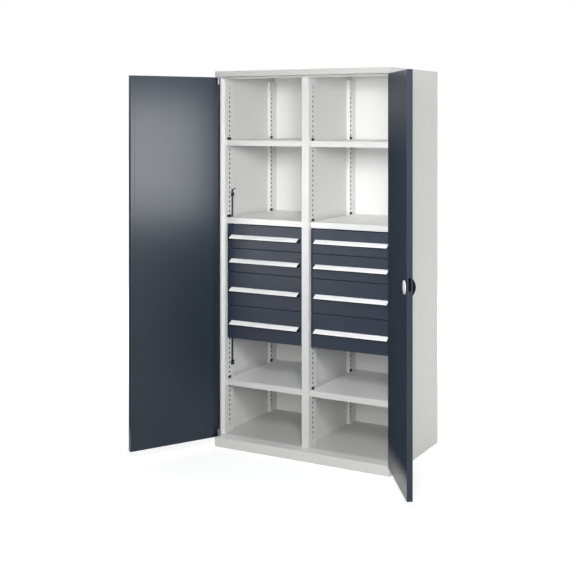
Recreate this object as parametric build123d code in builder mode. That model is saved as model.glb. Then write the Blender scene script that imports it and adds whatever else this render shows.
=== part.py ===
from build123d import *
from math import cos, radians, sin
import os

os.makedirs("parts", exist_ok=True)

# The cabinet stands on Z 0 with its middle at X 0 and Y 0.
# X runs to the right, Y to the back and Z up, and every size is in millimetres.
# Hand -1 is the left half and hand 1 the right half, as seen from the front.
height = 1950
width = 1000
depth = 600
sheet = 1.5
corner_gap = 0.5
halves = ((-1, "left"), (1, "right"))

plinth_height = 49
top_rail_height = 28
ledge_depth = 68
lip_drop = 10.5
return_depth = 15
bottom_return = 20
hem_depth = 18
door_room = 33

side_x = width / 2
inner_x = side_x - sheet
front_y = -depth / 2
rear_y = depth / 2
back_y = rear_y - 2 * sheet
floor_z = plinth_height
ceiling_z = height - top_rail_height
frame_y = front_y + ledge_depth
lip_z = ceiling_z - lip_drop
under_roof_z = height - sheet

# The two columns of shelves and drawers, between the faces of the perforated uprights.
upright_inset = 18
post_width = 40
wall_face = side_x - upright_inset
post_face = post_width / 2
column_width = wall_face - post_face
column_centre = (wall_face + post_face) / 2
front_upright_depth = 85
rear_upright_depth = 69

slot_width = 9
slot_height = 12
slot_pitch = 25
slot_count = 72
first_slot_z = 91
front_slot_y = -188
rear_slot_y = 239

shelf_tops = (1592, 1184, 333)
shelf_front_y = -215
shelf_back_gap = 3
shelf_fold = 30
shelf_flange = 20
shelf_gap = 1

block_bottom = 550
drawer_pitches = (125, 125, 175, 175)
drawer_gap = 3
drawer_side_gap = 3
drawer_front_y = -212
drawer_front_depth = 18
tray_sheet = 1
tray_back_y = 250
tray_rise = 10
tray_top_drop = 22

rail_sheet = 1.5
rail_standoff = 3.5
rail_front_y = -192
rail_back_y = 262
rail_rise = 40
rail_half_height = 20
rail_play = 0.5
rail_tips = (13.5, 15)
runner_depth = 17
runner_tip = 9

door_gap = 3
door_edge_inset = 1
door_thickness = 27
door_corner = 3
pivot_from_edge = 9.5
pivot_depth = 15
door_open = {-1: 119.6, 1: 124.9}
pivot_x = side_x - door_edge_inset - pivot_from_edge
pivot_y = front_y + pivot_depth
door_bottom = floor_z + door_gap
door_top = ceiling_z - door_gap
hinge_u = -pivot_from_edge
free_u = pivot_x - door_gap / 2
outer_v = -pivot_depth
inner_v = door_thickness - pivot_depth
hinge_wall = 18
liner_u = 34

pin_radius = 4
pin_block = 10
pin_block_length = 36
pin_reach = 14
pin_fit = 0.05
bush_shank = 13
bush_flange_width = 16
bush_flange = 2.7
bush_length = 13
hole_play = 0.1

lock_u = free_u - 50
lock_z = 970
tongue_z = 988
tongue_height = 50
tongue_thickness = 6
tongue_v = -2
tongue_u = (444, free_u - sheet)
latch_slot = (12, 58)
case_u = (408, 461)
case_height = 110
rod_section = (12, 2.5)
rod_play = 0.3
rod_clearance = 1
rod_start = 33
rod_inset = 1
knob_radius = 40
knob_height = 22
knob_rim = 9
knob_play = 0.4
grip_width = 15
grip_half_length = 37
spindle_width = 8
spindle_reach = 20
spindle_hole = 12
plug_radius = 5
plug_fit = 0.05


def folded_section(points, thickness=sheet):
    # Cross-section of a sheet folded along the points, with its metal on the left of their run.
    with BuildSketch() as section:
        with BuildLine():
            Polyline(*points)
            offset(amount=thickness, side=Side.LEFT, kind=Kind.INTERSECTION)
        make_face()
    return section.sketch


def handed(points, hand):
    # The points for the right half, or their mirror image run the other way for the left half.
    return [(hand * x, y) for x, y in points][::hand]


def area(x0, x1, y0, y1):
    with Locations(((x0 + x1) / 2, (y0 + y1) / 2)):
        Rectangle(abs(x1 - x0), abs(y1 - y0))


def grown(size, play):
    return [length + 2 * play for length in size]


def export(node, name):
    node.label = name
    export_step(node, f"parts/{name}.step")


# Roof sheet folded down into the top rail, back into a ledge and down into the frame lip.
with BuildPart() as roof_panel:
    with BuildSketch(Plane.YZ.offset(-side_x)):
        add(
            folded_section(
                [
                    (rear_y, height),
                    (front_y, height),
                    (front_y, ceiling_z),
                    (frame_y, ceiling_z),
                    (frame_y, lip_z),
                    (frame_y + return_depth, lip_z),
                ]
            )
        )
    extrude(amount=width)
    with BuildSketch(Plane.XY.offset(lip_z)):
        for hand, side in halves:
            area(hand * inner_x, hand * (side_x + 1), front_y + sheet, rear_y + 1)
    extrude(amount=under_roof_z - lip_z, mode=Mode.SUBTRACT)
    with BuildSketch(Plane.XY.offset(ceiling_z - 1)):
        with Locations((-pivot_x, pivot_y), (pivot_x, pivot_y)):
            Rectangle(*grown((bush_shank, bush_shank), hole_play))
        with Locations((pivot_x - lock_u, pivot_y)):
            Rectangle(*grown(rod_section, rod_clearance))
    extrude(amount=sheet + 2, mode=Mode.SUBTRACT)
export(roof_panel.part, "roof_panel")

# Floor sheet, which is the lower ledge too, folded down into the plinth and the rear flange.
with BuildPart() as base_panel:
    with BuildSketch(Plane.YZ.offset(-side_x)):
        add(
            folded_section(
                [
                    (back_y, 0),
                    (back_y, floor_z),
                    (front_y, floor_z),
                    (front_y, 0),
                    (front_y + bottom_return, 0),
                ]
            )
        )
    extrude(amount=width)
    with BuildSketch():
        for hand, side in halves:
            area(hand * inner_x, hand * (side_x + 1), front_y + sheet, rear_y)
    extrude(amount=floor_z + 1, mode=Mode.SUBTRACT)
    with BuildSketch(Plane.XY.offset(floor_z - sheet - 1)):
        with Locations((-pivot_x, pivot_y), (pivot_x, pivot_y)):
            Rectangle(*grown((bush_shank, bush_shank), hole_play))
        with Locations((pivot_x - lock_u, pivot_y)):
            Rectangle(*grown(rod_section, rod_clearance))
    extrude(amount=sheet + 2, mode=Mode.SUBTRACT)
export(base_panel.part, "base_panel")

# Hat-shaped stiffener from front to back under the middle of the floor, resting on the ground.
support_half = 20
support_foot = 15
with BuildPart() as floor_support:
    with BuildSketch(Plane.XZ.offset(-(back_y - 8))):
        add(
            folded_section(
                [
                    (support_half + support_foot, floor_z - sheet),
                    (support_half, floor_z - sheet),
                    (support_half, sheet),
                    (-support_half, sheet),
                    (-support_half, floor_z - sheet),
                    (-support_half - support_foot, floor_z - sheet),
                ]
            )
        )
    extrude(amount=back_y - 8 - (front_y + bottom_return + 2))
export(floor_support.part, "floor_support")

# Side sheets with a rear flange, cut back in front for the doors and hemmed along that edge.
for hand, side in halves:
    with BuildPart() as side_panel:
        with BuildSketch():
            add(
                folded_section(
                    handed(
                        [
                            (side_x, front_y + sheet),
                            (side_x, rear_y),
                            (side_x - return_depth, rear_y),
                        ],
                        hand,
                    )
                )
            )
        extrude(amount=under_roof_z)
        with BuildSketch(Plane.XY.offset(floor_z)):
            area(hand * (inner_x - 1), hand * (side_x + 1), front_y, front_y + door_room)
        extrude(amount=ceiling_z - floor_z, mode=Mode.SUBTRACT)
        hem_y = front_y + door_room
        with BuildSketch(Plane.XY.offset(floor_z)):
            area(hand * (inner_x - sheet), hand * inner_x, hem_y, hem_y + hem_depth)
        extrude(amount=ceiling_z - floor_z)
    export(side_panel.part, f"side_panel_{side}")

with BuildPart() as back_panel:
    with BuildSketch():
        area(-inner_x + corner_gap, inner_x - corner_gap, back_y, back_y + sheet)
    extrude(amount=under_roof_z)
export(back_panel.part, "back_panel")

# Upright sheet in the middle, cut lower in front to pass under the frame lip.
with BuildPart() as partition_panel:
    with BuildSketch(Plane.YZ.offset(-sheet / 2)):
        with BuildLine():
            Polyline(
                (frame_y + sheet, floor_z),
                (back_y, floor_z),
                (back_y, under_roof_z),
                (frame_y + return_depth + 1, under_roof_z),
                (frame_y + return_depth + 1, lip_z),
                (frame_y + sheet, lip_z),
                close=True,
            )
        make_face()
    extrude(amount=sheet)
export(partition_panel.part, "partition_panel")

# Perforated uprights: a channel in front and one behind on each wall and each partition face.
# They are left plain where the drawers, the shelf edges and the clips lie against them.
clip_rise = 14
block_top = block_bottom + sum(drawer_pitches)
plain_zones = [(block_bottom, block_top)]
plain_zones += [(top_z - shelf_fold, top_z + clip_rise) for top_z in shelf_tops]
slot_heights = [
    first_slot_z + slot_pitch * row
    for row in range(slot_count)
    if not any(low < first_slot_z + slot_pitch * row < high for low, high in plain_zones)
]


def upright(face_x, foot_x, near_foot_x, near_y, far_y, slot_y):
    outward = 1 if foot_x > face_x else -1
    run = [(foot_x, far_y), (face_x, far_y), (face_x, near_y), (near_foot_x, near_y)]
    with BuildPart() as channel:
        with BuildSketch(Plane.XY.offset(floor_z)):
            add(folded_section(run[::outward]))
        extrude(amount=lip_z - floor_z)
        with BuildSketch(Plane.YZ.offset(face_x - outward)):
            with Locations([(slot_y, z) for z in slot_heights]):
                Rectangle(slot_width, slot_height)
        extrude(amount=outward * (sheet + 2), mode=Mode.SUBTRACT)
    return channel.part


for hand, side in halves:
    for name, face_x, foot_x, near_foot_x in (
        ("wall", wall_face, inner_x, inner_x),
        ("partition", post_face, sheet / 2, 0),
    ):
        front = upright(
            hand * face_x,
            hand * foot_x,
            hand * near_foot_x,
            frame_y,
            frame_y + front_upright_depth,
            front_slot_y,
        )
        rear = upright(
            hand * face_x,
            hand * foot_x,
            hand * foot_x,
            back_y - rear_upright_depth,
            back_y,
            rear_slot_y,
        )
        export(Compound(children=[front, rear]), f"uprights_{name}_{side}")

# The lift bar that keeps a second drawer from opening runs up the left wall.
bar_y = (-172, -158)
bar_z = (400, 1330)
bar_thickness = 2.5
bar_play = 0.3
bar_hook = 22
guide_wall = 3.5
guide_cover = 3
guides_z = ((400, 24), (1294, 18))
bar_x = -wall_face + bar_play
with BuildPart() as interlock_bar:
    with BuildSketch(Plane.YZ.offset(bar_x)):
        with BuildLine():
            Polyline(
                (bar_y[0], bar_z[0]),
                (bar_y[1], bar_z[0]),
                (bar_y[1], bar_z[1] - 5),
                (bar_y[1] + bar_hook, bar_z[1] + 1),
                (bar_y[1] + bar_hook, bar_z[1] + 6),
                (bar_y[1] - 5, bar_z[1]),
                (bar_y[0], bar_z[1]),
                close=True,
            )
        make_face()
    extrude(amount=bar_thickness)
export(interlock_bar.part, "interlock_bar")

# Plastic guides that hold the lift bar against the wall at its two ends.
with BuildPart() as bar_guides:
    for guide_z, guide_height in guides_z:
        room_y = (bar_y[0] - bar_play, bar_y[1] + bar_play)
        room_x = bar_x + bar_thickness + bar_play
        with BuildSketch(Plane.XY.offset(guide_z)) as guide_section:
            with BuildLine():
                Polyline(
                    (-wall_face, room_y[0] - guide_wall),
                    (room_x + guide_cover, room_y[0] - guide_wall),
                    (room_x + guide_cover, room_y[1] + guide_wall),
                    (-wall_face, room_y[1] + guide_wall),
                    (-wall_face, room_y[1]),
                    (room_x, room_y[1]),
                    (room_x, room_y[0]),
                    (-wall_face, room_y[0]),
                    close=True,
                )
            make_face()
        extrude(amount=guide_height)
export(bar_guides.part, "bar_guides")

# Shelves with a boxed front fold, a rear fold and turned-down sides.
shelf_half = column_width / 2 - shelf_gap
shelf_back_y = back_y - shelf_back_gap
for hand, side in halves:
    for number, top_z in enumerate(shelf_tops, start=1):
        low_x = hand * column_centre - shelf_half
        high_x = hand * column_centre + shelf_half
        with BuildPart() as shelf:
            with BuildSketch(Plane.YZ.offset(low_x)):
                add(
                    folded_section(
                        [
                            (shelf_back_y, top_z - shelf_flange),
                            (shelf_back_y, top_z),
                            (shelf_front_y, top_z),
                            (shelf_front_y, top_z - shelf_fold),
                            (shelf_front_y + return_depth, top_z - shelf_fold),
                        ]
                    )
                )
            extrude(amount=2 * shelf_half)
            with BuildSketch(Plane.XY.offset(top_z - shelf_flange)):
                area(low_x, low_x + sheet, shelf_front_y + sheet, shelf_back_y - sheet)
                area(high_x - sheet, high_x, shelf_front_y + sheet, shelf_back_y - sheet)
            extrude(amount=shelf_flange - sheet)
            if side == "left" and bar_z[0] < top_z < bar_z[1]:
                with BuildSketch(Plane.XY.offset(top_z - shelf_fold)):
                    area(low_x - 1, bar_x + bar_thickness + 1, bar_y[0] - 2, bar_y[1] + 2)
                extrude(amount=shelf_fold, mode=Mode.SUBTRACT)
        export(shelf.part, f"shelf_{side}_{number}")

# Shelf clips: an angle against the upright, with its foot under the side of the shelf.
# The two front clips on the left wall above the drawers are longer.
clip_length = 27
wide_clip_length = 38
clip_foot = 9
clip_sheet = 1.2
with BuildPart() as shelf_clips:
    for hand, side in halves:
        for face_x, inward in ((hand * wall_face, -hand), (hand * post_face, hand)):
            for top_z in shelf_tops:
                foot_z = top_z - shelf_flange - clip_sheet
                for slot_y in (front_slot_y, rear_slot_y):
                    wide = side == "left" and inward > 0 and top_z > block_top
                    wide = wide and slot_y == front_slot_y
                    length = wide_clip_length if wide else clip_length
                    with BuildSketch(Plane.XZ.offset(-(slot_y + clip_length / 2))):
                        with BuildLine():
                            Polyline(
                                (face_x, foot_z),
                                (face_x + inward * clip_foot, foot_z),
                                (face_x + inward * clip_foot, top_z - shelf_flange),
                                (face_x + inward * shelf_gap, top_z - shelf_flange),
                                (face_x + inward * shelf_gap, top_z + clip_rise),
                                (face_x, top_z + clip_rise),
                                close=True,
                            )
                        make_face()
                    extrude(amount=length)
export(shelf_clips.part, "shelf_clips")


def rail_section(face_x, into, web, tip, centre_z, half_height):
    # A channel beside the upright face: its web and flange tips are measured from that face.
    turn = into if tip > web else -into
    run = [
        (face_x + into * tip, centre_z + half_height),
        (face_x + into * web, centre_z + half_height),
        (face_x + into * web, centre_z - half_height),
        (face_x + into * tip, centre_z - half_height),
    ]
    return folded_section(run[::turn], rail_sheet)


# Full-extension drawer slides: a fixed rail, a middle rail and a runner nested in each other.
middle_web = rail_standoff + rail_sheet + 2 * rail_play
middle_half = rail_half_height - rail_sheet - rail_play
runner_half = middle_half - rail_sheet - rail_play
pad_depth = 16
drawer_bottoms = [
    block_bottom + sum(drawer_pitches[number + 1 :])
    for number in range(len(drawer_pitches))
]
for hand, side in halves:
    faces = ((hand * wall_face, -hand), (hand * post_face, hand))
    with BuildPart() as outer_rails:
        for low_z in drawer_bottoms:
            centre_z = low_z + drawer_gap / 2 + rail_rise
            for face_x, into in faces:
                with BuildSketch(Plane.XZ.offset(-rail_back_y)):
                    add(
                        rail_section(
                            face_x,
                            into,
                            rail_standoff,
                            rail_tips[0],
                            centre_z,
                            rail_half_height,
                        )
                    )
                extrude(amount=rail_back_y - rail_front_y)
                with BuildSketch(Plane.XY.offset(centre_z - rail_half_height)):
                    for pad_y in (rail_front_y, rail_back_y - pad_depth):
                        area(face_x, face_x + into * rail_standoff, pad_y, pad_y + pad_depth)
                extrude(amount=2 * rail_half_height)
    export(outer_rails.part, f"outer_rails_{side}")

# Drawers, their grip strips and their middle rails.
handle_width = 412
cap_width = 3
handle_sheet = 2
drawer_half = column_width / 2 - drawer_side_gap
tray_half = column_width / 2 - runner_depth
for hand, side in halves:
    faces = ((hand * wall_face, -hand), (hand * post_face, hand))
    centre_x = hand * column_centre
    for number, pitch in enumerate(drawer_pitches, start=1):
        front_z = drawer_bottoms[number - 1] + drawer_gap / 2
        front_height = pitch - drawer_gap
        tray_z = front_z + tray_rise
        tray_height = front_height - tray_rise - tray_top_drop
        middle_z = front_z + front_height / 2
        centre_z = front_z + rail_rise

        with BuildPart() as drawer_box:
            with BuildSketch(Plane.XY.offset(front_z)):
                area(
                    centre_x - drawer_half,
                    centre_x + drawer_half,
                    drawer_front_y,
                    drawer_front_y + drawer_front_depth,
                )
            extrude(amount=front_height)
            with BuildSketch(Plane.XZ.offset(-(drawer_front_y + drawer_front_depth))):
                with Locations((centre_x, middle_z)):
                    Rectangle(2 * (drawer_half - sheet), front_height - 2 * sheet)
            extrude(amount=drawer_front_depth - sheet, mode=Mode.SUBTRACT)
            with BuildSketch(Plane.XY.offset(tray_z)):
                area(
                    centre_x - tray_half,
                    centre_x + tray_half,
                    drawer_front_y + sheet,
                    tray_back_y,
                )
            extrude(amount=tray_height)
            with BuildSketch(Plane.XY.offset(tray_z + tray_sheet)):
                area(
                    centre_x - tray_half + tray_sheet,
                    centre_x + tray_half - tray_sheet,
                    drawer_front_y + sheet,
                    tray_back_y - tray_sheet,
                )
            extrude(amount=tray_height - tray_sheet, mode=Mode.SUBTRACT)

        with BuildPart() as runners:
            for face_x, into in faces:
                with BuildSketch(Plane.XZ.offset(-tray_back_y)):
                    add(
                        rail_section(
                            face_x, into, runner_depth, runner_tip, centre_z, runner_half
                        )
                    )
                extrude(amount=tray_back_y - rail_front_y)
        export(
            Compound(children=[drawer_box.part, runners.part]), f"drawer_{side}_{number}"
        )

        with BuildPart() as middle_rails:
            for face_x, into in faces:
                with BuildSketch(Plane.XZ.offset(-rail_back_y)):
                    add(
                        rail_section(
                            face_x, into, middle_web, rail_tips[1], centre_z, middle_half
                        )
                    )
                extrude(amount=rail_back_y - rail_front_y)
        export(middle_rails.part, f"middle_rails_{side}_{number}")

        grip = [
            (drawer_front_y, middle_z - 6),
            (drawer_front_y, middle_z + 8),
            (drawer_front_y - 25, middle_z - 8),
            (drawer_front_y - 25, middle_z - 13),
        ]
        strip_half = handle_width / 2 - cap_width
        with BuildPart() as grip_strip:
            with BuildSketch(Plane.YZ.offset(centre_x - strip_half)):
                add(folded_section(grip, handle_sheet))
            extrude(amount=2 * strip_half)
        with BuildPart() as end_caps:
            for cap_x in (centre_x - strip_half - cap_width, centre_x + strip_half):
                with BuildSketch(Plane.YZ.offset(cap_x)):
                    with BuildLine():
                        Polyline(*grip, (drawer_front_y, middle_z - 13), close=True)
                    make_face()
                extrude(amount=cap_width)
        export(
            Compound(children=[grip_strip.part, end_caps.part]), f"handle_{side}_{number}"
        )


# Each door has its own frame: u from the pivot to the free edge, v from the pivot towards
# the inside of the cabinet when shut. Both doors stand open as they rest.
def door_directions(hand):
    angle = radians(door_open[hand])
    along = Vector(-hand * cos(angle), -sin(angle), 0)
    inward = Vector(-hand * sin(angle), cos(angle), 0)
    return along, inward


def door_point(hand, u, v, z):
    along, inward = door_directions(hand)
    return Vector(hand * pivot_x, pivot_y, z) + along * u + inward * v


def door_level(hand, z):
    # Level plane through the pivot at height z. Its Y runs along v times minus the hand.
    return Plane(origin=door_point(hand, 0, 0, z), x_dir=door_directions(hand)[0])


def door_face(hand, u, v, z):
    # Plane across the door at depth v, facing out through the outer sheet.
    along, inward = door_directions(hand)
    return Plane(origin=door_point(hand, u, v, z), x_dir=along, z_dir=inward * -1)


def door_run(points, hand):
    return [(u, -hand * v) for u, v in points][::-hand]


def door_area(hand, u0, u1, v0, v1):
    area(u0, u1, -hand * v0, -hand * v1)


door_height = door_top - door_bottom
hinge_wall_v = outer_v + hinge_wall
shell_corners = [
    (hinge_u, hinge_wall_v),
    (hinge_u, outer_v + door_corner),
    (hinge_u + door_corner, outer_v),
    (free_u - door_corner, outer_v),
    (free_u, outer_v + door_corner),
    (free_u, inner_v),
]
shell_run = [*shell_corners, (free_u - 22, inner_v)]
plate_outline = [*shell_corners, (liner_u, inner_v)]
liner_end = free_u - 22.3
liner_foot_v = outer_v + sheet
liner_run = [
    (liner_end - 13, liner_foot_v),
    (liner_end, liner_foot_v),
    (liner_end, inner_v),
    (liner_u, inner_v),
    (liner_u, liner_foot_v),
    (liner_u + 18, liner_foot_v),
]
for hand, side in halves:
    end_plates = [door_level(hand, door_bottom), door_level(hand, door_top - sheet)]

    # Outer skin folded round both edges, with an end plate at the top and the bottom. The wall
    # along the hinges is lower, so that the open door stays clear of the drawers.
    with BuildPart() as door_shell:
        with BuildSketch(door_level(hand, door_bottom)):
            add(folded_section(door_run(shell_run, hand)))
        extrude(amount=door_height)
        with BuildSketch(*end_plates):
            with BuildLine():
                Polyline(*door_run(plate_outline, hand), close=True)
            make_face()
        extrude(amount=sheet)
        with BuildSketch(*end_plates):
            Rectangle(*grown((pin_block, pin_block), hole_play))
            if side == "right":
                with Locations((lock_u, 0)):
                    Rectangle(*grown(rod_section, rod_play))
        extrude(amount=sheet, mode=Mode.SUBTRACT)
        slot_v = (tongue_v - latch_slot[0] / 2, tongue_v + latch_slot[0] / 2)
        with BuildSketch(door_level(hand, tongue_z - latch_slot[1] / 2)):
            door_area(hand, free_u - 3, free_u + 1, *slot_v)
        extrude(amount=latch_slot[1], mode=Mode.SUBTRACT)
        if side == "right":
            with BuildSketch(door_face(hand, lock_u, liner_foot_v + 0.5, lock_z)):
                Circle(spindle_hole / 2)
            extrude(amount=sheet + 1, mode=Mode.SUBTRACT)
    export(door_shell.part, f"door_shell_{side}")

    # Inner hat-shaped liner, which leaves an open channel along the hinge edge.
    with BuildPart() as door_liner:
        with BuildSketch(door_level(hand, door_bottom + sheet)):
            add(folded_section(door_run(liner_run, hand)))
        extrude(amount=door_height - 2 * sheet)
        if side == "right":
            with BuildSketch(door_level(hand, tongue_z - tongue_height / 2 - 0.5)):
                door_area(
                    hand,
                    liner_end - 3,
                    liner_end + 1,
                    tongue_v - tongue_thickness / 2 - 0.5,
                    tongue_v + tongue_thickness / 2 + 0.5,
                )
            extrude(amount=tongue_height + 1, mode=Mode.SUBTRACT)
    export(door_liner.part, f"door_liner_{side}")

    # Pivot pins: a square block held in the end plate, turned down to a round spindle.
    block_starts = (door_bottom, door_top - pin_block_length)
    spindle_starts = (door_bottom - pin_reach, door_top)
    with BuildPart() as door_pins:
        with BuildSketch(*[door_level(hand, z) for z in block_starts]):
            Rectangle(pin_block, pin_block)
        extrude(amount=pin_block_length)
        with BuildSketch(*[door_level(hand, z) for z in spindle_starts]):
            Circle(pin_radius)
        extrude(amount=pin_reach)
    export(door_pins.part, f"door_pins_{side}")

# Square bushes with a round bore in the two ledges, in which the pivot pins turn.
with BuildPart() as pivot_bushes:
    for flange_z, shank_z in (
        (floor_z, floor_z - bush_length),
        (ceiling_z - bush_flange, ceiling_z),
    ):
        with BuildSketch(Plane.XY.offset(flange_z)):
            with Locations((-pivot_x, pivot_y), (pivot_x, pivot_y)):
                Rectangle(bush_flange_width, bush_flange_width)
                Circle(pin_radius + pin_fit, mode=Mode.SUBTRACT)
        extrude(amount=bush_flange)
        with BuildSketch(Plane.XY.offset(shank_z)):
            with Locations((-pivot_x, pivot_y), (pivot_x, pivot_y)):
                Rectangle(bush_shank, bush_shank)
                Circle(pin_radius + pin_fit, mode=Mode.SUBTRACT)
        extrude(amount=bush_length)
export(pivot_bushes.part, "pivot_bushes")

# Lock case inside the right door, with a bore for the spindle, one for each rod and a
# pocket for the tongue.
case_z = lock_z - case_height / 2
rod_ends = (lock_z - rod_start, lock_z + rod_start)
with BuildPart() as lock_case:
    with BuildSketch(door_level(1, case_z)):
        door_area(1, *case_u, liner_foot_v + sheet, inner_v - sheet)
    extrude(amount=case_height)
    with BuildSketch(door_level(1, tongue_z - tongue_height / 2 - rod_play)):
        door_area(
            1,
            tongue_u[0] - 2,
            case_u[1] + 1,
            tongue_v - tongue_thickness / 2 - rod_play,
            tongue_v + tongue_thickness / 2 + rod_play,
        )
    extrude(amount=tongue_height + 2 * rod_play, mode=Mode.SUBTRACT)
    for bore_z in (case_z, rod_ends[1] - 5):
        with BuildSketch(door_level(1, bore_z)):
            with Locations((lock_u, 0)):
                Rectangle(*grown(rod_section, rod_play))
        extrude(amount=rod_ends[0] + 5 - case_z, mode=Mode.SUBTRACT)
    with BuildSketch(door_face(1, lock_u, outer_v + spindle_reach + 1, lock_z)):
        Circle(spindle_hole / 2)
    extrude(amount=spindle_reach, mode=Mode.SUBTRACT)
export(lock_case.part, "lock_case")

# The two flat rods and the tongue that the turning handle drives.
with BuildPart() as rod_upper:
    with BuildSketch(door_level(1, rod_ends[1])):
        with Locations((lock_u, 0)):
            Rectangle(*rod_section)
    extrude(amount=door_top - rod_inset - rod_ends[1])
export(rod_upper.part, "rod_upper")

with BuildPart() as rod_lower:
    with BuildSketch(door_level(1, door_bottom + rod_inset)):
        with Locations((lock_u, 0)):
            Rectangle(*rod_section)
    extrude(amount=rod_ends[0] - door_bottom - rod_inset)
export(rod_lower.part, "rod_lower")

with BuildPart() as latch_tongue:
    with BuildSketch(door_level(1, tongue_z - tongue_height / 2)):
        door_area(
            1,
            *tongue_u,
            tongue_v - tongue_thickness / 2,
            tongue_v + tongue_thickness / 2,
        )
    extrude(amount=tongue_height)
    nose_axis = Axis(door_point(1, 0, 0, 0), door_directions(1)[0])
    chamfer(edges().filter_by(Axis.Z).sort_by(nose_axis)[-2:], length=2)
export(latch_tongue.part, "latch_tongue")

# Round cap on the inside of the door, behind the lock.
cap_radius = 31
with BuildPart() as lock_cap:
    with BuildSketch(door_face(1, lock_u, inner_v, lock_z)):
        Circle(cap_radius)
    extrude(amount=-3)
export(lock_cap.part, "lock_cap")

# Round turning handle with an upright arched grip across it.
knob_foot = outer_v - knob_play
plug_depth = 16
with BuildPart() as turn_handle:
    with BuildSketch(door_face(1, lock_u, knob_foot, lock_z)):
        Circle(knob_radius)
    extrude(amount=knob_rim - knob_play)
    grip_plane = Plane(
        origin=door_point(1, lock_u - grip_width / 2, outer_v, lock_z),
        x_dir=(0, 0, -1),
        z_dir=door_directions(1)[0],
    )
    with BuildSketch(grip_plane):
        with BuildLine():
            ThreePointArc(
                (-grip_half_length, knob_rim - 1),
                (0, knob_height),
                (grip_half_length, knob_rim - 1),
            )
            Line((-grip_half_length, knob_rim - 1), (grip_half_length, knob_rim - 1))
        make_face()
    extrude(amount=grip_width)
    with BuildSketch(door_face(1, lock_u, knob_foot, lock_z)):
        Rectangle(spindle_width, spindle_width)
    extrude(amount=-(spindle_reach + knob_play))
    with BuildSketch(door_face(1, lock_u, outer_v - knob_height + plug_depth, lock_z)):
        Circle(plug_radius + plug_fit)
    extrude(amount=plug_depth + 1, mode=Mode.SUBTRACT)
export(turn_handle.part, "turn_handle")

# Lock cylinder in the middle of the handle, with a key slit.
plug_v = outer_v - knob_height + plug_depth - 0.3
with BuildPart() as key_plug:
    with BuildSketch(door_face(1, lock_u, plug_v, lock_z)):
        Circle(plug_radius)
    extrude(amount=plug_depth)
    with BuildSketch(door_face(1, lock_u, plug_v - plug_depth, lock_z)):
        Rectangle(1.4, 6.5)
    extrude(amount=-5, mode=Mode.SUBTRACT)
export(key_plug.part, "key_plug")
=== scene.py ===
import bpy
import bmesh
import math
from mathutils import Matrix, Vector


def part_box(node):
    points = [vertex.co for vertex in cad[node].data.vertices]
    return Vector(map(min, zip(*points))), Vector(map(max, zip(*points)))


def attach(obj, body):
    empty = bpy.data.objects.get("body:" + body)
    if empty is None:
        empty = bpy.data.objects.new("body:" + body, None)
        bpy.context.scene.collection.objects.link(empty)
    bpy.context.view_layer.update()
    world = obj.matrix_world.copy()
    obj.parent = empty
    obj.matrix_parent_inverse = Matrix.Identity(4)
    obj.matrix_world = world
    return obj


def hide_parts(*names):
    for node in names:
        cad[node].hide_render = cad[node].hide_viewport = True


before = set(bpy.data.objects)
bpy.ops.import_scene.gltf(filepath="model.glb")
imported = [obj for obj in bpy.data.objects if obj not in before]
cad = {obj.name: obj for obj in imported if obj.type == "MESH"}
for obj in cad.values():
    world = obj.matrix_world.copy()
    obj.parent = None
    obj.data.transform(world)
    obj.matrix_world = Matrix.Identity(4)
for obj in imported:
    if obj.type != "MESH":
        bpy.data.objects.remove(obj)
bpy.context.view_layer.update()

# Carcass sheets: roof, floor and sides of folded 1.5 mm steel, welded into one box.
# They are powder coated light grey, with a fine orange-peel skin, uneven gloss, softly
# rounded folds and a little dust low down where the plinth meets the floor. The coat
# is painted in a shaded, darker tone outside and a lit, lighter tone inside.


def fill(tree, node, inputs):
    # Each input named is linked, where its value is a socket, or else set.
    for key, value in inputs.items():
        if isinstance(value, bpy.types.NodeSocket):
            tree.links.new(value, node.inputs[key])
        else:
            node.inputs[key].default_value = value


def add(tree, kind, inputs=None, **settings):
    made = tree.nodes.new("ShaderNode" + kind)
    for key, value in settings.items():
        setattr(made, key, value)
    fill(tree, made, inputs or {})
    return made


def new_surface(name):
    material = bpy.data.materials.new(name)
    material.use_nodes = True
    tree = material.node_tree
    surface = tree.nodes["Principled BSDF"]
    place = add(tree, "TexCoord").outputs["Object"]
    return material, tree, surface, place


def mixed(tree, factor, first, second):
    # One shader where the factor is 0, another where it is 1.
    inputs = {0: factor, 1: first.outputs[0], 2: second.outputs[0]}
    return add(tree, "MixShader", inputs)


def show(tree, shader):
    # What the surface finally shows.
    fill(tree, tree.nodes["Material Output"], {"Surface": shader.outputs[0]})


def scaled(colour, factor):
    return tuple(channel * factor for channel in colour)


def ramp(tree, factor, *stops):
    # Two stops, each a position and a colour.
    made = add(tree, "ValToRGB", {"Fac": factor})
    for element, (position, colour) in zip(made.color_ramp.elements, stops):
        element.position = position
        element.color = (*colour, 1)
    return made.outputs["Color"]


def mottled(tree, factor, colour, low, high):
    # A colour that wanders between two shades of itself.
    return ramp(tree, factor, (0.3, scaled(colour, low)), (0.7, scaled(colour, high)))


def uneven(tree, factor, low, high, start=0.3, end=0.75):
    # A roughness that wanders between two values.
    return ramp(tree, factor, (start, (low, low, low)), (end, (high, high, high)))


def noise(tree, place, scale, detail, stretch=None):
    if stretch:
        mapping = add(tree, "Mapping", {"Vector": place, "Scale": stretch})
        place = mapping.outputs["Vector"]
    pattern = {"Vector": place, "Scale": scale, "Detail": detail}
    return add(tree, "TexNoise", pattern).outputs["Fac"]


def relief(tree, height, strength, depth, round_edge=None, samples=6):
    # The fine relief of a skin, on edges that shade as if they were rounded.
    inputs = {"Strength": strength, "Distance": depth, "Height": height}
    if round_edge:
        corner = add(tree, "Bevel", {"Radius": round_edge}, samples=samples)
        inputs["Normal"] = corner.outputs["Normal"]
    return add(tree, "Bump", inputs).outputs["Normal"]


def figure(tree, operation, first, second=0.0):
    return add(tree, "Math", {0: first, 1: second}, operation=operation).outputs[0]


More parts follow.
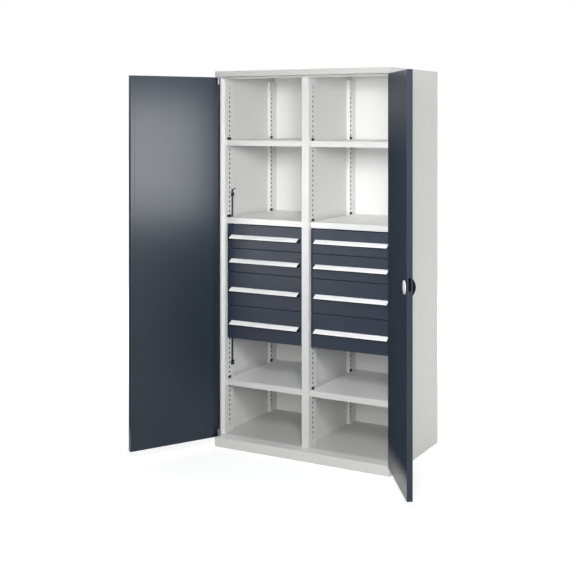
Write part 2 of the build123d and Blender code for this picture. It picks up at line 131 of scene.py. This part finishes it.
def together(tree, *factors):
    # 1 only where every factor is 1.
    product = factors[0]
    for factor in factors[1:]:
        product = figure(tree, "MULTIPLY", product, factor)
    return product


def between(tree, value, low, high):
    above = figure(tree, "GREATER_THAN", value, low)
    return together(tree, above, figure(tree, "LESS_THAN", value, high))


def changing(tree, value, start, end, low=0.0, high=1.0, way="SMOOTHSTEP"):
    # From low, where the value is at its start, to high, where it is at its end.
    inputs = {"Value": value, "From Min": start, "From Max": end}
    inputs.update({"To Min": low, "To Max": high})
    return add(tree, "MapRange", inputs, interpolation_type=way).outputs["Result"]


def blended(tree, factor, first, second):
    # Mix of two colours: the first where the factor is 0, the second where it is 1.
    made = add(tree, "Mix", {"Factor": factor}, data_type="RGBA")
    for number, colour in ((6, first), (7, second)):
        if not isinstance(colour, bpy.types.NodeSocket):
            colour = (*colour, 1)
        fill(tree, made, {number: colour})
    return made.outputs[2]


def aside(tree, axes):
    # How far out from the middle of the cabinet, to either side.
    return figure(tree, "ABSOLUTE", axes.outputs["X"])


def facing_up(tree):
    normal = add(tree, "NewGeometry").outputs["Normal"]
    facing = add(tree, "SeparateXYZ", {"Vector": normal})
    return figure(tree, "GREATER_THAN", facing.outputs["Z"], 0.5)


def paint(name, colour, rough=(0.34, 0.44), edge=0.0014, shade=None, other=None):
    # Powder coat. The shade is 1 where the surface is painted near black, as the shade
    # inside a closed channel. The other is a function that says where a second tone
    # lies, and that tone.
    dust_height, most_dust, dust_colour = 0.04, 0.22, (0.47, 0.45, 0.41)
    material, tree, surface, place = new_surface(name)
    axes = add(tree, "SeparateXYZ", {"Vector": place})
    tint = mottled(tree, noise(tree, place, 3.0, 4), colour, 0.985, 1.015)
    if other:
        where, second_tone = other
        tint = blended(tree, where(tree, axes), tint, second_tone)
    height = axes.outputs["Z"]
    low = changing(tree, height, 0.0, dust_height, most_dust, 0.0, "LINEAR")
    dust = together(tree, low, noise(tree, place, 9.0, 5))
    orange_peel = noise(tree, place, 380.0, 1.5)
    fill(
        tree,
        surface,
        {
            "Base Color": blended(tree, dust, tint, dust_colour),
            "Roughness": uneven(tree, noise(tree, place, 14.0, 5), *rough),
            "Normal": relief(tree, orange_peel, 0.35, 0.00005, edge),
        },
    )
    if shade:
        # Painted shade: near black and matt, for the dark inside the channels.
        channel_shade = add(tree, "BsdfDiffuse", {"Color": (0.012, 0.012, 0.012, 1)})
        show(tree, mixed(tree, shade(tree, axes), surface, channel_shade))
    return material


def dress(name, material):
    for place in cad[name].material_slots:
        place.material = material


# The depths and the height of the strips that the uprights close off.
front_channel = (-0.2303, -0.1487)
rear_channel = (0.2303, 0.2960)
channel_height = (0.1, 1.84)


def behind_channels(tree, axes):
    front = between(tree, axes.outputs["Y"], *front_channel)
    rear = between(tree, axes.outputs["Y"], *rear_channel)
    return figure(tree, "ADD", front, rear)


def side_hollow_shade(tree, axes):
    # The strips of a side sheet inside the uprights, painted near black as the shade
    # in the closed channels.
    inner_face = between(tree, aside(tree, axes), 0.4980, 0.4990)
    tall = between(tree, axes.outputs["Z"], *channel_height)
    return together(tree, inner_face, tall, behind_channels(tree, axes))


def side_inside_lit(tree, axes):
    # The inner face of a side sheet, painted in the lit, lighter inner tone.
    return between(tree, aside(tree, axes), 0.4975, 0.4990)


def lit_base_front(tree, axes):
    # The upper face of the base in front of the shelves, painted lighter as lit,
    # fading inwards.
    near = changing(tree, axes.outputs["Y"], -0.21, -0.245)
    return together(tree, facing_up(tree), near)


# Painted shade and light: a shaded outer tone and a lit inner tone of one coat.
outer_shaded_grey = (0.5, 0.5, 0.495)
inner_lit_grey = (0.78, 0.78, 0.775)
lit_ledge_grey = (0.8, 0.8, 0.795)
# Painted shade and light: the roof is a darker copy of the outer tone, the base a
# lighter.
dress("roof_panel", paint("roof_paint", scaled(outer_shaded_grey, 0.86)))
lit_base_grey = scaled(outer_shaded_grey, 1.14)
dress("base_panel", paint("base_paint", lit_base_grey, other=(lit_base_front, lit_ledge_grey)))
shaded_side_grey = (0.51, 0.51, 0.505)
side_paint = paint(
    "side_paint", shaded_side_grey, shade=side_hollow_shade, other=(side_inside_lit, inner_lit_grey)
)
dress("side_panel_left", side_paint)
dress("side_panel_right", side_paint)

# Back and partition: flat sheets welded in last, one closing the rear and one, folded
# into a post in front, standing between the two columns. Same light grey coat, painted
# in the lit, lighter inside tone.
dress("back_panel", paint("back_paint", inner_lit_grey))


def partition_hollow_shade(tree, axes):
    # The faces of the partition inside the uprights, painted near black as the shade
    # in the closed channels.
    thin = between(tree, aside(tree, axes), 0.0, 0.0009)
    tall = between(tree, axes.outputs["Z"], *channel_height)
    return together(tree, thin, tall, behind_channels(tree, axes))


dress("partition_panel", paint("partition_paint", inner_lit_grey, shade=partition_hollow_shade))

# Stiffener: a hat-shaped steel channel under the floor sheet, welded on before it is
# painted. It carries the same light grey coat, a little darker and duller.
underside_grey = scaled(outer_shaded_grey, 0.92)
dress("floor_support", paint("underside_paint", underside_grey, (0.45, 0.6)))

# Uprights: four pairs of channels punched with a row of slots, spot-welded to the
# sides and to the partition. They take the same light grey coat in its lit inner tone,
# with painted near-black shade in the closed hollow and, on the front of the post, a
# darker, shaded copy of the tone.


def upright_hollow_shade(tree, axes):
    # The faces in the channels of the uprights, painted near black as shade.
    wall = between(tree, aside(tree, axes), 0.4826, 0.4990)
    post = between(tree, aside(tree, axes), 0.0008, 0.0194)
    hidden = figure(tree, "ADD", wall, post)
    return together(tree, hidden, behind_channels(tree, axes))


def post_front_shade(tree, axes):
    before = figure(tree, "LESS_THAN", axes.outputs["Y"], -0.2312)
    on_post = figure(tree, "LESS_THAN", aside(tree, axes), 0.03)
    return together(tree, before, on_post)


# Painted shade: the front of the post takes a darker copy of the lit inner tone.
post_shaded_grey = scaled(inner_lit_grey, 0.7)
upright_paint = paint(
    "upright_paint",
    inner_lit_grey,
    (0.3, 0.4),
    0.0008,
    upright_hollow_shade,
    (post_front_shade, post_shaded_grey),
)
for name in cad:
    if name.startswith("uprights_"):
        dress(name, upright_paint)

# Shelves: folded steel trays, a little glossier than the carcass, painted in a lit,
# paler tone on top for the light and the reflection of the back wall that fall there,
# and in a shaded, darker tone on the fronts and folds, with a few faint scuffs where
# things have been pushed in and out.
shelf_coat, tree, surface, place = new_surface("shelf_paint")
# Painted light and shade: a lit tone on top and a shaded one on the fronts and folds.
lit_top_tint = mottled(tree, noise(tree, place, 4.0, 4), inner_lit_grey, 1.09, 1.12)
shaded_fold_tint = scaled(inner_lit_grey, 0.68)
scuffs = noise(tree, place, 9.0, 6, (2.0, 0.7, 1.0))
orange_peel = noise(tree, place, 380.0, 1.5)
fill(
    tree,
    surface,
    {
        "Base Color": blended(tree, facing_up(tree), shaded_fold_tint, lit_top_tint),
        "Roughness": uneven(tree, scuffs, 0.3, 0.32, start=0.4),
        "Normal": relief(tree, orange_peel, 0.3, 0.00004, 0.0014),
    },
)
for name in cad:
    if name.startswith("shelf_") and name != "shelf_clips":
        dress(name, shelf_coat)

# Shelf clips, bar guides: small black nylon mouldings pushed into the slots.
# They are matt, with the fine even grain of a moulded part.


def moulding(name, colour, rough=0.5, round_edge=0.0008, level=0.3):
    material, tree, surface, place = new_surface(name)
    cloud = noise(tree, place, 40.0, 3)
    grain = noise(tree, place, 900.0, 2)
    fill(
        tree,
        surface,
        {
            "Base Color": mottled(tree, cloud, colour, 0.88, 1.12),
            "Roughness": rough,
            "Specular IOR Level": level,
            "Normal": relief(tree, grain, 0.3, 0.00005, round_edge, samples=4),
        },
    )
    return material


black_nylon = moulding("black_nylon", (0.016, 0.016, 0.018))
dress("shelf_clips", black_nylon)
dress("bar_guides", black_nylon)

# Lift bar: a blackened flat steel bar that slides up the left wall when a drawer opens.
# Its oxide skin is satin and rubbed a little brighter along its length.
bar_skin, tree, surface, place = new_surface("blackened_bar")
streaks = noise(tree, place, 60.0, 5, (3.0, 3.0, 0.2))
oxide, rubbed = (0.05, 0.05, 0.053), (0.1, 0.1, 0.106)
corner = add(tree, "Bevel", {"Radius": 0.0006}, samples=4)
fill(
    tree,
    surface,
    {
        "Base Color": ramp(tree, streaks, (0.3, oxide), (0.8, rubbed)),
        "Metallic": 0.8,
        "Roughness": uneven(tree, streaks, 0.5, 0.38, end=0.8),
        "Normal": corner.outputs["Normal"],
    },
)
dress("interlock_bar", bar_skin)

# Slides: cold-rolled steel channels, zinc plated and bright, with the fine drawn lines
# of the rolling along their length.
bright_zinc = (0.55, 0.57, 0.6)
along_depth = (4.0, 0.1, 4.0)


def zinc(tree, surface, place, stretch, tone=bright_zinc):
    lines = noise(tree, place, 90.0, 4, stretch)
    fill(
        tree,
        surface,
        {
            "Base Color": mottled(tree, lines, tone, 0.88, 1.1),
            "Metallic": 1.0,
            "Roughness": uneven(tree, lines, 0.28, 0.4, end=0.7),
            "Normal": relief(tree, lines, 0.2, 0.00003),
        },
    )


def plated(name, stretch, tone=bright_zinc):
    material, tree, surface, place = new_surface(name)
    zinc(tree, surface, place, stretch, tone)
    return material


slide_zinc = plated("slide_zinc", along_depth)
for name in cad:
    if name.startswith(("outer_rails", "middle_rails")):
        dress(name, slide_zinc)

# Drawers: welded steel trays with a flush front, powder coated satin anthracite.
# The runners screwed to their sides keep their zinc, which the material tells from the
# painted tray by where it lies beside it.


def satin(name, colour, sheen_colour, rough, level, dull=None):
    # Dark coat. At a flat angle it turns matt with a paler tone, a painted sheen that
    # stands for its fine grain breaking up what it mirrors into an even haze, only
    # where dull says so, if it is given.
    material, tree, surface, place = new_surface(name)
    cloud = noise(tree, place, 4.0, 4)
    grain = noise(tree, place, 420.0, 1.5)
    skin = {
        "Roughness": uneven(tree, noise(tree, place, 7.0, 3), *rough),
        "Normal": relief(tree, grain, 0.3, 0.00003, 0.0011),
    }
    matt = add(tree, "BsdfPrincipled", skin)
    fill(tree, surface, skin)
    for shader, tone, shine in ((surface, colour, level), (matt, sheen_colour, 0.0)):
        tint = mottled(tree, cloud, tone, 0.95, 1.05)
        fill(tree, shader, {"Base Color": tint, "Specular IOR Level": shine})
    turned = add(tree, "LayerWeight", {"Blend": 0.5}).outputs["Facing"]
    flat = changing(tree, turned, 0.3, 0.62)
    if dull:
        flat = together(tree, flat, dull(tree, place))
    return material, tree, place, mixed(tree, flat, surface, matt)


# Painted sheen: the second, paler tone of each pair shows at a flat angle.
drawer_dark, drawer_sheen = (0.0165, 0.0235, 0.039), (0.03, 0.038, 0.055)
tray_half_width, runner_front = 0.21405, -0.1935
for side, centre_x in (("left", -0.251), ("right", 0.251)):
    drawer_paint, tree, place, coat = satin(
        "drawer_paint_" + side, drawer_dark, drawer_sheen, (0.33, 0.4), 0.16
    )
    metal = add(tree, "BsdfPrincipled")
    zinc(tree, metal, place, along_depth)
    axes = add(tree, "SeparateXYZ", {"Vector": place})
    offset = figure(tree, "SUBTRACT", axes.outputs["X"], centre_x)
    away = figure(tree, "ABSOLUTE", offset)
    outside = figure(tree, "GREATER_THAN", away, tray_half_width)
    behind = figure(tree, "GREATER_THAN", axes.outputs["Y"], runner_front)
    show(tree, mixed(tree, together(tree, outside, behind), coat, metal))
    for number in (1, 2, 3, 4):
        dress(f"drawer_{side}_{number}", drawer_paint)

# Grip strips: aluminium extrusions, brushed and clear anodised, screwed across each
# drawer front, with a fine groove down the slope and a black bead under the nose, a
# painted shadow of the grip.
# Black plastic caps, slanted as the profile is, close both ends.
handle_metal, tree, surface, place = new_surface("handle_aluminium")
lines = noise(tree, place, 130.0, 4, (0.08, 5.0, 5.0))
dull_silver, clear_silver = (0.94, 0.942, 0.945), (0.98, 0.982, 0.985)
fill(
    tree,
    surface,
    {
        "Base Color": ramp(tree, lines, (0.3, dull_silver), (0.7, clear_silver)),
        "Metallic": 0.05,
        "Roughness": uneven(tree, lines, 0.34, 0.42, end=0.7),
        "Normal": relief(tree, lines, 0.2, 0.00003),
    },
)
cap_black = moulding("cap_black", (0.005, 0.005, 0.006), 0.5, 0.0006, 0.05)


def make(name, shape, material, body):
    # A finished piece: its own object at the origin, with faces outwards.
    bmesh.ops.recalc_face_normals(shape, faces=shape.faces)
    mesh = bpy.data.meshes.new(name)
    shape.to_mesh(mesh)
    shape.free()
    piece = bpy.data.objects.new(name, mesh)
    bpy.context.collection.objects.link(piece)
    mesh.materials.append(material)
    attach(piece, body)
    return piece


def pushed(shape, corners, travel):
    # A flat outline extruded in a straight line into a solid bar.
    end = shape.faces.new([shape.verts.new(corner) for corner in corners])
    parts = bmesh.ops.extrude_face_region(shape, geom=[end])["geom"]
    moved = [part for part in parts if isinstance(part, bmesh.types.BMVert)]
    bmesh.ops.translate(shape, verts=moved, vec=travel)


def soften(shape, width):
    # Rounds the edges that run along X.
    long_edges = [
        edge
        for edge in shape.edges
        if (edge.verts[0].co - edge.verts[1].co).yz.length < 1e-7
    ]
    bmesh.ops.bevel(
        shape,
        geom=long_edges,
        offset=width,
        offset_type="OFFSET",
        affect="EDGES",
        segments=2,
        profile=0.5,
        material=-1,
        clamp_overlap=True,
    )


# Profiles, each point as far out from the drawer's front and up from the grip's middle.
strip_profile = (
    (0.0, 0.0080),
    (0.0009, 0.0080),
    (0.0115, 0.0012),
    (0.0121, 0.0004),
    (0.0129, 0.0003),
    (0.0250, -0.0075),
    (0.0250, -0.0102),
    (0.0225, -0.0102),
    (0.0225, -0.0078),
    (0.0020, 0.0048),
    (0.0020, -0.0060),
    (0.0, -0.0060),
)
cap_profile = ((0.0, 0.0078), (0.0248, -0.0077), (0.0248, -0.0130), (0.0, -0.0130))
# Painted shadow: the black bead under the nose.
shadow_bead_profile = (
    (0.0248, -0.0102),
    (0.0248, -0.0140),
    (0.0205, -0.0140),
    (0.0205, -0.0102),
)
middle_above_foot = 0.013
cap_length = 0.0028


def drawn(shape, profile, face_y, middle_z, start_x, end_x):
    corners = [(start_x, face_y - out, middle_z + up) for out, up in profile]
    pushed(shape, corners, (end_x - start_x, 0, 0))


for side in ("left", "right"):
    for number in (1, 2, 3, 4):
        node = f"handle_{side}_{number}"
        body = f"drawer_{side}_{number}"
        low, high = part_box(node)
        lie = (high.y, low.z + middle_above_foot)
        strip_x = (low.x + cap_length, high.x - cap_length)

        shape = bmesh.new()
        drawn(shape, strip_profile, *lie, *strip_x)
        soften(shape, 0.0005)
        strip = make(
            f"grip_{side}_{number}", shape, handle_metal, body
        )
        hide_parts(node)

        shape = bmesh.new()
        for cap_x in (low.x, high.x - cap_length):
            drawn(shape, cap_profile, *lie, cap_x, cap_x + cap_length)
        drawn(shape, shadow_bead_profile, *lie, *strip_x)
        soften(shape, 0.0004)
        trim = make(
            f"grip_caps_{side}_{number}", shape, cap_black, body
        )
        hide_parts(node)

# Doors: an outer skin and an inner liner of folded steel, powder coated dark anthracite
# in a smooth semi-gloss that mirrors the room softly, duller over the middle height,
# where at a flat angle it takes a paler tone, a painted sheen.


def dull_middle(tree, place):
    height = add(tree, "SeparateXYZ", {"Vector": place}).outputs["Z"]
    foot = changing(tree, height, 0.1, 0.2)
    head = changing(tree, height, 1.5, 1.9, 1.0, 0.4)
    return together(tree, foot, head)


# Painted sheen: the second, paler tone shows at a flat angle.
door_dark, door_sheen = (0.0175, 0.0255, 0.0375), (0.039, 0.049, 0.066)
door_paint, tree, place, coat = satin(
    "door_paint", door_dark, door_sheen, (0.285, 0.31), 0.27, dull_middle
)
show(tree, coat)
for side in ("left", "right"):
    dress(f"door_shell_{side}", door_paint)
    dress(f"door_liner_{side}", door_paint)

# Pivot pins and bushes: zinc-plated steel pins at both ends of each door's hinge edge,
# turning in white nylon bushes that are let into the ledges of the carcass.
pin_zinc = plated("pin_zinc", (3.0, 3.0, 3.0), (0.30, 0.31, 0.36))
dress("door_pins_left", pin_zinc)
dress("door_pins_right", pin_zinc)
dress("pivot_bushes", moulding("white_nylon", (0.7, 0.7, 0.68), 0.4))

# Lock: a zinc-plated case with flat rods and a blackened tongue inside the right door,
# and a white plastic cap, pressed in from behind, that covers the spindle.
dress("lock_case", pin_zinc)
rod_zinc = plated("rod_zinc", (4.0, 4.0, 0.1))
dress("rod_upper", rod_zinc)
dress("rod_lower", rod_zinc)
lock_black = (0.005, 0.005, 0.006)
dress("latch_tongue", moulding("tongue_black", lock_black, 0.5, 0.0006, 0.03))

door_angle = math.radians(124.9)
along = Vector((-math.cos(door_angle), -math.sin(door_angle), 0))
inward = Vector((-math.sin(door_angle), math.cos(door_angle), 0))
lock_from_pivot = 0.438
lock_line = Vector((0.4895, -0.285, 0.97)) + along * lock_from_pivot


def turned_rim(shape, rim, foot, towards):
    # Rim points of (radius, height) turned once round the axis that leaves the foot.
    points = [shape.verts.new(foot + along * r + towards * h) for r, h in rim]
    edges = [shape.edges.new(pair) for pair in zip(points, points[1:])]
    bmesh.ops.spin(
        shape,
        geom=points + edges,
        cent=foot,
        axis=towards,
        angle=math.tau,
        steps=64,
        use_merge=True,
    )
    bmesh.ops.remove_doubles(shape, verts=shape.verts, dist=1e-6)


shape = bmesh.new()
cap_rim = (
    (0.0, 0.0),
    (0.0304, 0.0),
    (0.0310, 0.0006),
    (0.0308, 0.0018),
    (0.0300, 0.0026),
    (0.0286, 0.0030),
    (0.0262, 0.0029),
    (0.0240, 0.0023),
    (0.0215, 0.0020),
    (0.0, 0.0019),
)
liner_depth = 0.012
turned_rim(shape, cap_rim, lock_line + inward * liner_depth, inward)
white_cap = moulding("white_cap", (0.84, 0.84, 0.835), 0.35)
cap = make("round_cap", shape, white_cap, "door_right")
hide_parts("lock_cap")

# Turning handle: a black moulded disc with an arched grip bar across it, hollows on
# both sides for the fingers, and a nickel-plated lock cylinder let into the bar.
black_handle = moulding("black_handle", lock_black, 0.5, 0.0012, 0.03)
skin_depth = 0.0154
knob_foot = lock_line - inward * skin_depth
shape = bmesh.new()
disc_rim = (
    (0.0056, 0.0),
    (0.0385, 0.0),
    (0.0398, 0.0008),
    (0.0400, 0.0030),
    (0.0396, 0.0056),
    (0.0384, 0.0076),
    (0.0366, 0.0085),
    (0.0345, 0.0083),
    (0.0318, 0.0070),
    (0.0240, 0.0058),
    (0.0056, 0.0056),
    (0.0056, 0.0),
)
turned_rim(shape, disc_rim, knob_foot, -inward)

bar_half_length = 0.037
bar_half_width = 0.0075
plug_half_width = 0.0054
bar_sunk, bar_ends, bar_rise = 0.004, 0.0080, 0.0136
arch_steps = 16
plug_steps = (6, 10)


def arched(shape, start, end, low_step, high_step):
    # A slice of the grip bar, from one place along the door to another.
    arch = []
    for step in range(low_step, high_step + 1):
        reach = -bar_half_length + 2 * bar_half_length * step / arch_steps
        rise = bar_ends + bar_rise * (1 - (reach / bar_half_length) ** 2)
        arch.append((reach, rise))
    outline = [(arch[0][0], bar_sunk), *arch, (arch[-1][0], bar_sunk)]
    foot = knob_foot + along * start
    corners = [foot - inward * rise + Vector((0, 0, reach)) for reach, rise in outline]
    pushed(shape, corners, along * (end - start))


arched(shape, -bar_half_width, -plug_half_width, 0, arch_steps)
arched(shape, plug_half_width, bar_half_width, 0, arch_steps)
arched(shape, -plug_half_width, plug_half_width, 0, plug_steps[0])
arched(shape, -plug_half_width, plug_half_width, plug_steps[1], arch_steps)
knob = make("turning_knob", shape, black_handle, "turn_handle")
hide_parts("turn_handle")
dress("key_plug", plated("nickel", (1.0, 1.0, 1.0), (0.72, 0.7, 0.66)))

# Studio: a pale floor that keeps the cabinet's shadow, a white surround, and lamps at
# a plain level: a far and a broad one in front, a small key, one beside, one behind.
# Two more show in gloss only, one for the doors and one for the drawer fronts.
floor_reach = 30
floor_mesh = bpy.data.meshes.new("floor")
outline = bmesh.new()
for x, y in ((-1, -1), (1, -1), (1, 1), (-1, 1)):
    outline.verts.new((x * floor_reach, y * floor_reach, 0))
outline.faces.new(outline.verts)
outline.to_mesh(floor_mesh)
outline.free()
floor = bpy.data.objects.new("floor", floor_mesh)
bpy.context.collection.objects.link(floor)


def background_rays(tree):
    # 1 for the rays that show the background: straight, mirrored or through something.
    path = add(tree, "LightPath").outputs
    seen = figure(tree, "MAXIMUM", path["Is Camera Ray"], path["Is Glossy Ray"])
    return figure(tree, "MAXIMUM", seen, path["Is Transmission Ray"])


floor_paint, tree, surface, place = new_surface("floor_paint")
fill(
    tree,
    surface,
    {"Base Color": (0.8, 0.8, 0.8, 1), "Roughness": 0.9, "Specular IOR Level": 0.0},
)
distance = add(tree, "VectorMath", {0: place}, operation="LENGTH").outputs["Value"]
glow = changing(tree, distance, 0.7, 2.2, 0.72, 1.0)
shaded = add(tree, "BsdfDiffuse", {"Color": (0.42, 0.42, 0.42, 1)})
bright = add(tree, "Emission", {"Color": (1, 1, 1, 1), "Strength": glow})
paper = add(tree, "AddShader", {0: shaded.outputs[0], 1: bright.outputs[0]})
show(tree, mixed(tree, background_rays(tree), surface, paper))
floor_mesh.materials.append(floor_paint)

world = bpy.data.worlds.new("surround")
bpy.context.scene.world = world
world.use_nodes = True
tree = world.node_tree
level = changing(tree, background_rays(tree), 0.0, 1.0, 0.3, 1.0, "LINEAR")
fill(tree, tree.nodes["Background"], {"Color": (1, 1, 1, 1), "Strength": level})


def lamp(name, at, aim, size, power, gloss_only=False):
    data = bpy.data.lights.new(name, "AREA")
    data.shape = "RECTANGLE"
    data.size = size[0]
    data.size_y = size[1]
    data.energy = power
    made = bpy.data.objects.new(name, data)
    made.location = at
    made.rotation_euler = (Vector(aim) - Vector(at)).to_track_quat("-Z", "Y").to_euler()
    made.visible_camera = False
    made.visible_diffuse = not gloss_only
    bpy.context.collection.objects.link(made)


lamp("far", (1.0, -7.5, 2.2), (0.0, 0.0, 1.0), (4.0, 2.5), 130)
lamp("broad", (2.2, -3.9, 2.2), (0.0, 0.0, 1.0), (1.2, 1.2), 48)
lamp("key", (1.15, -2.1, 1.95), (0.0, -0.2, 0.9), (0.5, 0.5), 30)
lamp("side", (4.5, 0.6, 1.5), (0.5, 0.0, 1.0), (2.0, 2.0), 85)
lamp("rear", (-2.4, 4.2, 2.4), (0.0, 0.0, 1.0), (3.0, 2.0), 150)
lamp("door_panel", (0.42, -0.76, 1.47), (-0.6, -0.6, 1.42), (0.66, 0.72), 18, True)
lamp("drawer_panel", (-2.3, -3.6, 0.9), (0.0, -0.3, 1.1), (1.3, 0.6), 62, True)

# Camera: level, in front and to the right, with its lens shifted down and to the left
# so that upright edges stay upright and the cabinet fills the frame.
camera_data = bpy.data.cameras.new("camera")
camera_data.sensor_width = 36
camera_data.lens = 65.58
camera_data.shift_x = -0.0686
camera_data.shift_y = -0.2949
camera = bpy.data.objects.new("camera", camera_data)
camera.location = (2.581, -4.8456, 1.7069)
camera.rotation_euler = (math.radians(90), 0, math.radians(28.004))
bpy.context.collection.objects.link(camera)
bpy.context.scene.camera = camera
bpy.context.scene.view_settings.view_transform = "Standard"
